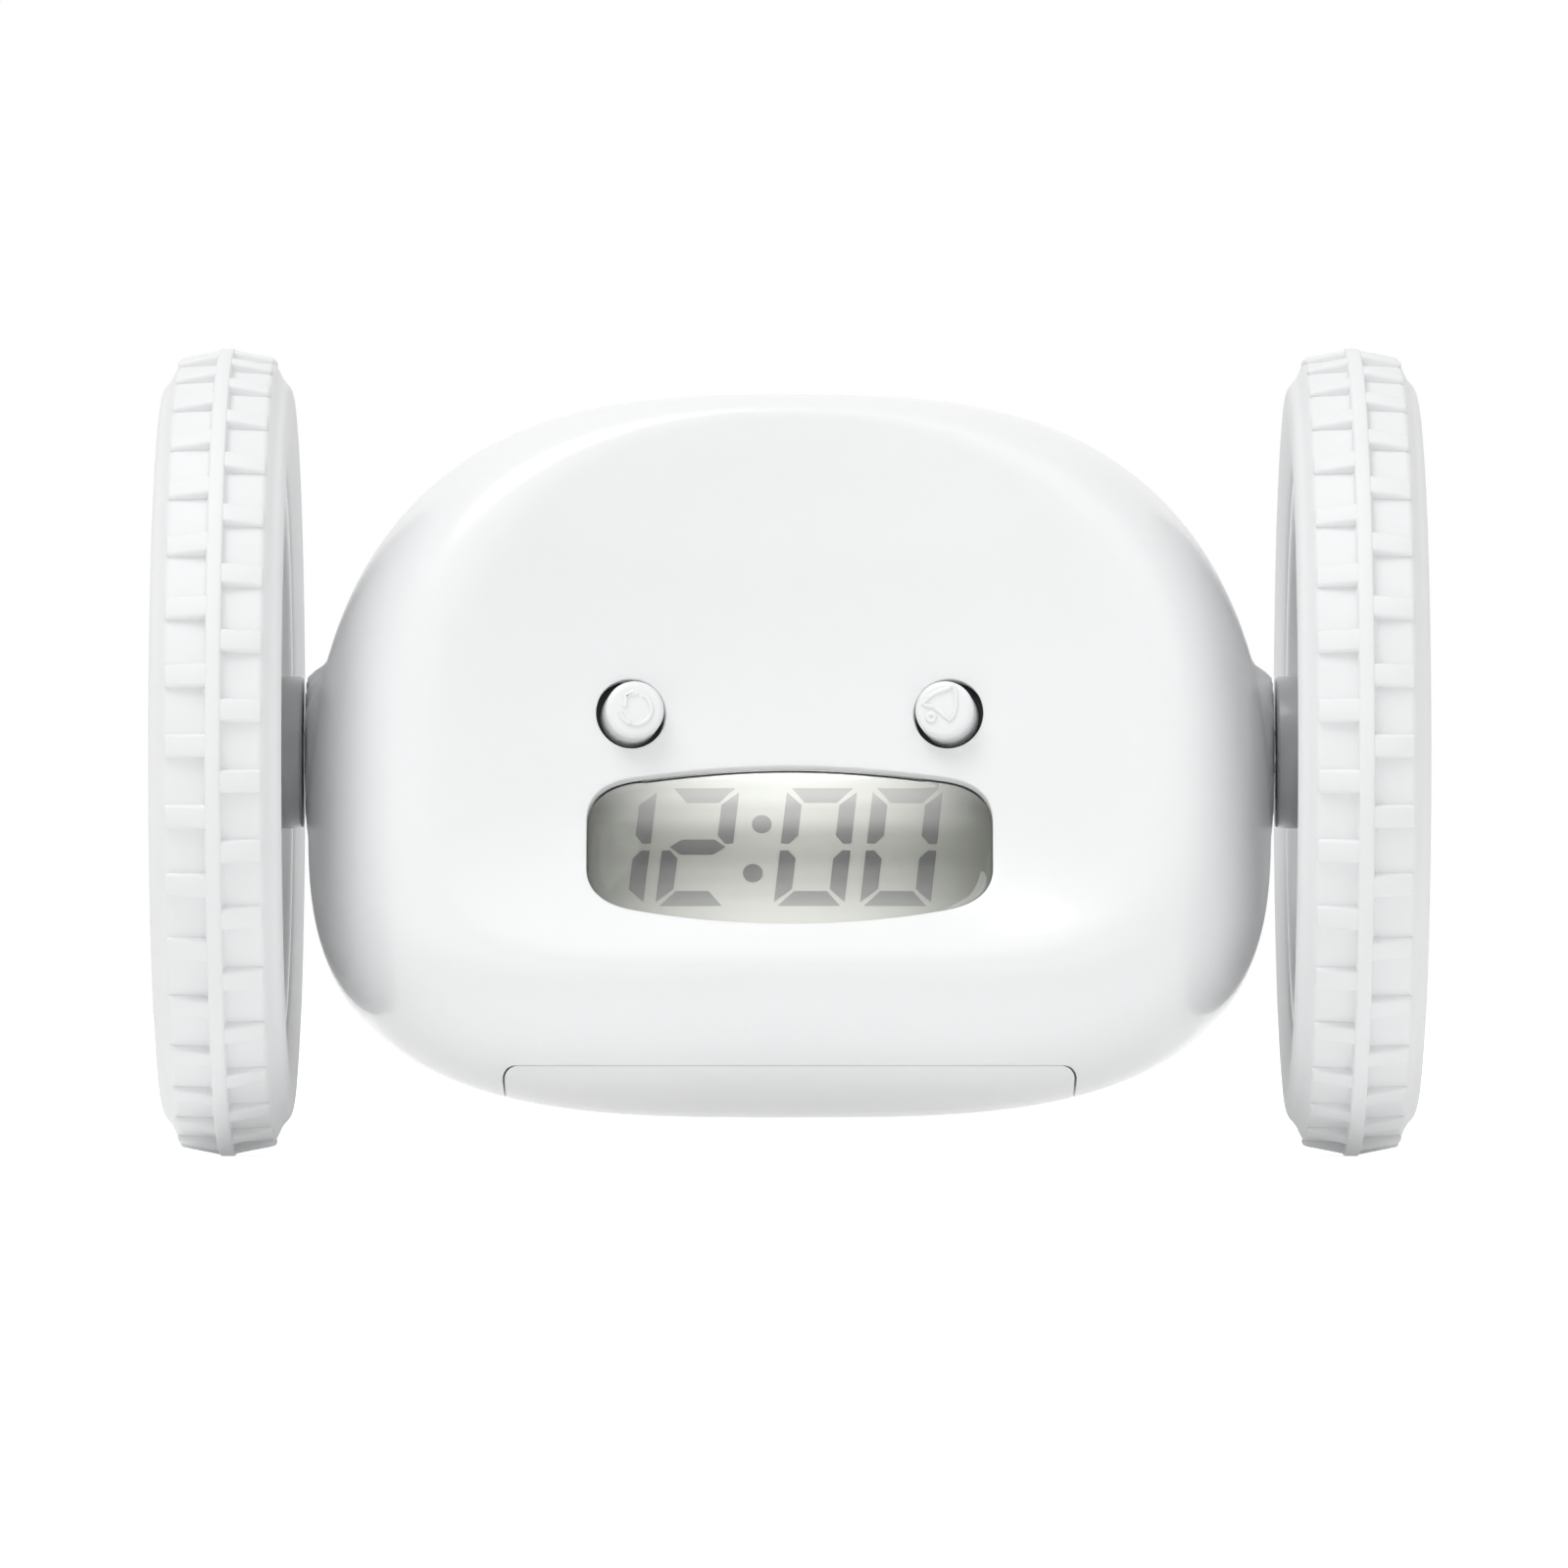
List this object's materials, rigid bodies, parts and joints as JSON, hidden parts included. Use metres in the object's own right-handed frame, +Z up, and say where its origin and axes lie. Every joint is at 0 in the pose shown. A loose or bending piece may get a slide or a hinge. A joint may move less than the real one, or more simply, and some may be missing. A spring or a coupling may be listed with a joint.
{
  "type": "runaway alarm clock",
  "caption": "Digital alarm clock in a dished glossy white casing, hung between two large lugged wheels that its motors drive so that it rolls away while the alarm sounds.",
  "frame": {"origin": "on the floor, at the middle of the bounding box's base, straight below the middle of the axle line", "axes": "+X along the axle line, to the right of someone who reads the display; the face looks towards -Y; +Z up"},
  "size_m": [0.135, 0.087, 0.0869],
  "materials": {
    "gloss_white": "gloss",
    "tyre_white": "matte",
    "rim_white": "satin",
    "collar_grey": "satin",
    "clear_lens": "gloss",
    "display_glass": "satin",
    "dark_plastic": "satin",
    "pale_nylon": "satin",
    "board_green": "satin",
    "steel": "satin",
    "brass": "satin",
    "cell_wrap": "satin"
  },
  "bodies": {
    "housing": {"front_shell": "gloss_white", "rear_shell": "gloss_white", "casing_screw_1": "steel", "casing_screw_2": "steel", "casing_screw_3": "steel", "casing_screw_4": "steel", "window_lens": "clear_lens", "display_panel": "display_glass", "display_frame": "dark_plastic", "main_board": "board_green", "snooze_switch": "dark_plastic", "alarm_switch": "dark_plastic", "rear_board": "board_green", "buzzer": "dark_plastic", "battery_tray": "pale_nylon", "battery_1": "cell_wrap", "battery_2": "cell_wrap", "battery_3": "cell_wrap", "battery_4": "cell_wrap", "left_contact": "steel", "right_contact": "steel", "left_gearbox_base": "pale_nylon", "left_gearbox_cover": "pale_nylon", "left_motor": "steel", "left_gear_pin": "steel", "left_bush": "brass", "right_gearbox_base": "pale_nylon", "right_gearbox_cover": "pale_nylon", "right_motor": "steel", "right_gear_pin": "steel", "right_bush": "brass"},
    "left_wheel": {"left_tyre": "tyre_white", "left_rim": "rim_white", "left_hub_cap": "gloss_white", "left_drive_collar": "collar_grey", "left_axle": "steel", "left_wheel_screw": "steel", "left_output_gear": "pale_nylon"},
    "right_wheel": {"right_tyre": "tyre_white", "right_rim": "rim_white", "right_hub_cap": "gloss_white", "right_drive_collar": "collar_grey", "right_axle": "steel", "right_wheel_screw": "steel", "right_output_gear": "pale_nylon"},
    "left_double_gear": {"left_double_gear": "pale_nylon"},
    "right_double_gear": {"right_double_gear": "pale_nylon"},
    "left_motor_pinion": {"left_motor_pinion": "brass"},
    "right_motor_pinion": {"right_motor_pinion": "brass"},
    "snooze_button": {"snooze_button": "gloss_white"},
    "alarm_button": {"alarm_button": "gloss_white"},
    "time_key": {"time_key": "gloss_white"},
    "alarm_key": {"alarm_key": "gloss_white"},
    "hour_key": {"hour_key": "gloss_white"},
    "minute_key": {"minute_key": "gloss_white"},
    "run_switch": {"run_switch": "dark_plastic"},
    "battery_door": {"battery_door": "gloss_white"}
  },
  "joints": [
    {"name": "left_wheel_spin", "type": "hinge", "parent": "housing", "child": "left_wheel", "pos_m": [-0.06045, 0, 0.04346], "axis": [1, 0, 0], "continuous": true},
    {"name": "right_wheel_spin", "type": "hinge", "parent": "housing", "child": "right_wheel", "pos_m": [0.06045, 0, 0.04346], "axis": [1, 0, 0], "continuous": true},
    {"name": "left_double_gear_spin", "type": "hinge", "parent": "housing", "child": "left_double_gear", "pos_m": [-0.031, 0.01088, 0.04853], "axis": [1, 0, 0], "continuous": true},
    {"name": "right_double_gear_spin", "type": "hinge", "parent": "housing", "child": "right_double_gear", "pos_m": [0.031, 0.01088, 0.04853], "axis": [1, 0, 0], "continuous": true},
    {"name": "left_motor_spin", "type": "hinge", "parent": "housing", "child": "left_motor_pinion", "pos_m": [-0.031, 0.01088, 0.06053], "axis": [1, 0, 0], "continuous": true},
    {"name": "right_motor_spin", "type": "hinge", "parent": "housing", "child": "right_motor_pinion", "pos_m": [0.031, 0.01088, 0.06053], "axis": [1, 0, 0], "continuous": true},
    {"name": "snooze_press", "type": "slide", "parent": "housing", "child": "snooze_button", "axis": [-0.1442, 0.9744, -0.1727], "range_m": [0, 0.001], "stiffness_N_per_m": 900, "springref_m": -0.0005},
    {"name": "alarm_press", "type": "slide", "parent": "housing", "child": "alarm_button", "axis": [0.1442, 0.9744, -0.1727], "range_m": [0, 0.001], "stiffness_N_per_m": 900, "springref_m": -0.0005},
    {"name": "time_key_press", "type": "slide", "parent": "housing", "child": "time_key", "axis": [0, -1, 0], "range_m": [0, 0.0006], "stiffness_N_per_m": 900, "springref_m": -0.0005},
    {"name": "alarm_key_press", "type": "slide", "parent": "housing", "child": "alarm_key", "axis": [0, -1, 0], "range_m": [0, 0.0006], "stiffness_N_per_m": 900, "springref_m": -0.0005},
    {"name": "hour_key_press", "type": "slide", "parent": "housing", "child": "hour_key", "axis": [0, -1, 0], "range_m": [0, 0.0006], "stiffness_N_per_m": 900, "springref_m": -0.0005},
    {"name": "minute_key_press", "type": "slide", "parent": "housing", "child": "minute_key", "axis": [0, -1, 0], "range_m": [0, 0.0006], "stiffness_N_per_m": 900, "springref_m": -0.0005},
    {"name": "run_switch_slide", "type": "slide", "parent": "housing", "child": "run_switch", "axis": [1, 0, 0], "range_m": [0, 0.004]},
    {"name": "battery_door_slide", "type": "slide", "parent": "housing", "child": "battery_door", "axis": [0, -1, 0], "range_m": [0, 0.012]}
  ],
  "couplings": [
    {"joint": "left_double_gear_spin", "follows": "left_wheel_spin", "ratio": -3},
    {"joint": "left_motor_spin", "follows": "left_wheel_spin", "ratio": 9},
    {"joint": "right_double_gear_spin", "follows": "right_wheel_spin", "ratio": -3},
    {"joint": "right_motor_spin", "follows": "right_wheel_spin", "ratio": 9}
  ]
}
